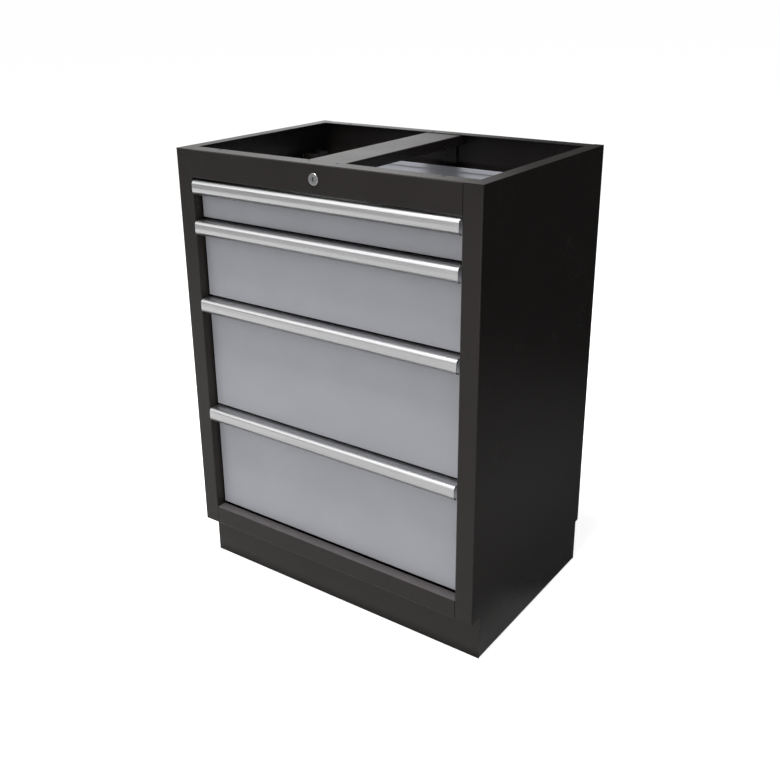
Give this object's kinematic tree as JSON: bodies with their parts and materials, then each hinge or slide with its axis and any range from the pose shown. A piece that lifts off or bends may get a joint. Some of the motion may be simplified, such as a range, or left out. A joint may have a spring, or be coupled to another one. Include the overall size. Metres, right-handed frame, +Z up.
{
  "type": "drawer base cabinet",
  "caption": "Free-standing steel base cabinet: drawers with full-width pull grips on ball-bearing slides, one central lock, plinth, and an open braced top for a worktop.",
  "frame": {"origin": "on the floor, under the middle of the cabinet's box", "axes": "+Z up, -Y out of the front, +X to the right of someone who stands before it"},
  "size_m": [0.68, 0.463, 0.91],
  "materials": {
    "carcass_black": "satin black powder coat",
    "drawer_grey": "satin silver-grey powder coat",
    "grip_aluminium": "brushed and anodised extrusion",
    "slide_zinc": "bright zinc plate",
    "cage_zinc": "zinc plate",
    "lock_chrome": "polished",
    "lock_steel": "zinc plate"
  },
  "bodies": {
    "cabinet": {"side_panel_left": "carcass_black", "side_panel_right": "carcass_black", "back_panel": "carcass_black", "top_rail": "carcass_black", "bottom_rail": "carcass_black", "floor_panel": "carcass_black", "centre_brace": "carcass_black", "brace_rivets": "carcass_black", "plinth_front": "carcass_black", "plinth_back": "carcass_black", "plinth_left": "carcass_black", "plinth_right": "carcass_black", "slide_post_front_left": "carcass_black", "slide_post_front_right": "carcass_black", "slide_post_back_left": "carcass_black", "slide_post_back_right": "carcass_black", "rod_support": "carcass_black", "bar_guides": "carcass_black", "outer_slides_1": "slide_zinc", "outer_slides_2": "slide_zinc", "outer_slides_3": "slide_zinc", "outer_slides_4": "slide_zinc", "slide_screws": "slide_zinc", "lock_housing": "lock_chrome", "lock_nut": "lock_steel"},
    "drawer_1": {"drawer_front_1": "drawer_grey", "drawer_handle_1": "grip_aluminium", "drawer_box_1": "drawer_grey", "inner_slides_1": "slide_zinc", "lock_lug_1": "carcass_black"},
    "middle_members_1": {"middle_slides_1": "slide_zinc", "ball_cages_1": "cage_zinc"},
    "drawer_2": {"drawer_front_2": "drawer_grey", "drawer_handle_2": "grip_aluminium", "drawer_box_2": "drawer_grey", "inner_slides_2": "slide_zinc", "lock_lug_2": "carcass_black"},
    "middle_members_2": {"middle_slides_2": "slide_zinc", "ball_cages_2": "cage_zinc"},
    "drawer_3": {"drawer_front_3": "drawer_grey", "drawer_handle_3": "grip_aluminium", "drawer_box_3": "drawer_grey", "inner_slides_3": "slide_zinc", "lock_lug_3": "carcass_black"},
    "middle_members_3": {"middle_slides_3": "slide_zinc", "ball_cages_3": "cage_zinc"},
    "drawer_4": {"drawer_front_4": "drawer_grey", "drawer_handle_4": "grip_aluminium", "drawer_box_4": "drawer_grey", "inner_slides_4": "slide_zinc", "lock_lug_4": "carcass_black"},
    "middle_members_4": {"middle_slides_4": "slide_zinc", "ball_cages_4": "cage_zinc"},
    "lock_rotor": {"lock_plug": "lock_chrome", "lock_rod": "lock_steel"},
    "lock_slider": {"lock_bar": "carcass_black", "lock_hooks": "carcass_black"}
  },
  "joints": [
    {"name": "drawer_1_pull", "type": "slide", "parent": "cabinet", "child": "drawer_1", "axis": [0, -1, 0], "range_m": [0, 0.39]},
    {"name": "middle_members_1_follow", "type": "slide", "parent": "cabinet", "child": "middle_members_1", "axis": [0, -1, 0], "range_m": [0, 0.195]},
    {"name": "drawer_2_pull", "type": "slide", "parent": "cabinet", "child": "drawer_2", "axis": [0, -1, 0], "range_m": [0, 0.39]},
    {"name": "middle_members_2_follow", "type": "slide", "parent": "cabinet", "child": "middle_members_2", "axis": [0, -1, 0], "range_m": [0, 0.195]},
    {"name": "drawer_3_pull", "type": "slide", "parent": "cabinet", "child": "drawer_3", "axis": [0, -1, 0], "range_m": [0, 0.39]},
    {"name": "middle_members_3_follow", "type": "slide", "parent": "cabinet", "child": "middle_members_3", "axis": [0, -1, 0], "range_m": [0, 0.195]},
    {"name": "drawer_4_pull", "type": "slide", "parent": "cabinet", "child": "drawer_4", "axis": [0, -1, 0], "range_m": [0, 0.39]},
    {"name": "middle_members_4_follow", "type": "slide", "parent": "cabinet", "child": "middle_members_4", "axis": [0, -1, 0], "range_m": [0, 0.195]},
    {"name": "lock_turn", "type": "hinge", "parent": "cabinet", "child": "lock_rotor", "pos_m": [0, -0.2265, 0.8835], "axis": [0, 1, 0], "range_deg": [0, 90]},
    {"name": "lock_bar_lift", "type": "slide", "parent": "cabinet", "child": "lock_slider", "axis": [0, 0, 1], "range_m": [0, 0.01414]}
  ],
  "couplings": [
    {"joint": "middle_members_1_follow", "follows": "drawer_1_pull", "ratio": 0.5},
    {"joint": "middle_members_2_follow", "follows": "drawer_2_pull", "ratio": 0.5},
    {"joint": "middle_members_3_follow", "follows": "drawer_3_pull", "ratio": 0.5},
    {"joint": "middle_members_4_follow", "follows": "drawer_4_pull", "ratio": 0.5},
    {"joint": "lock_turn", "follows": "lock_bar_lift", "rad_per_m": 111.07}
  ]
}
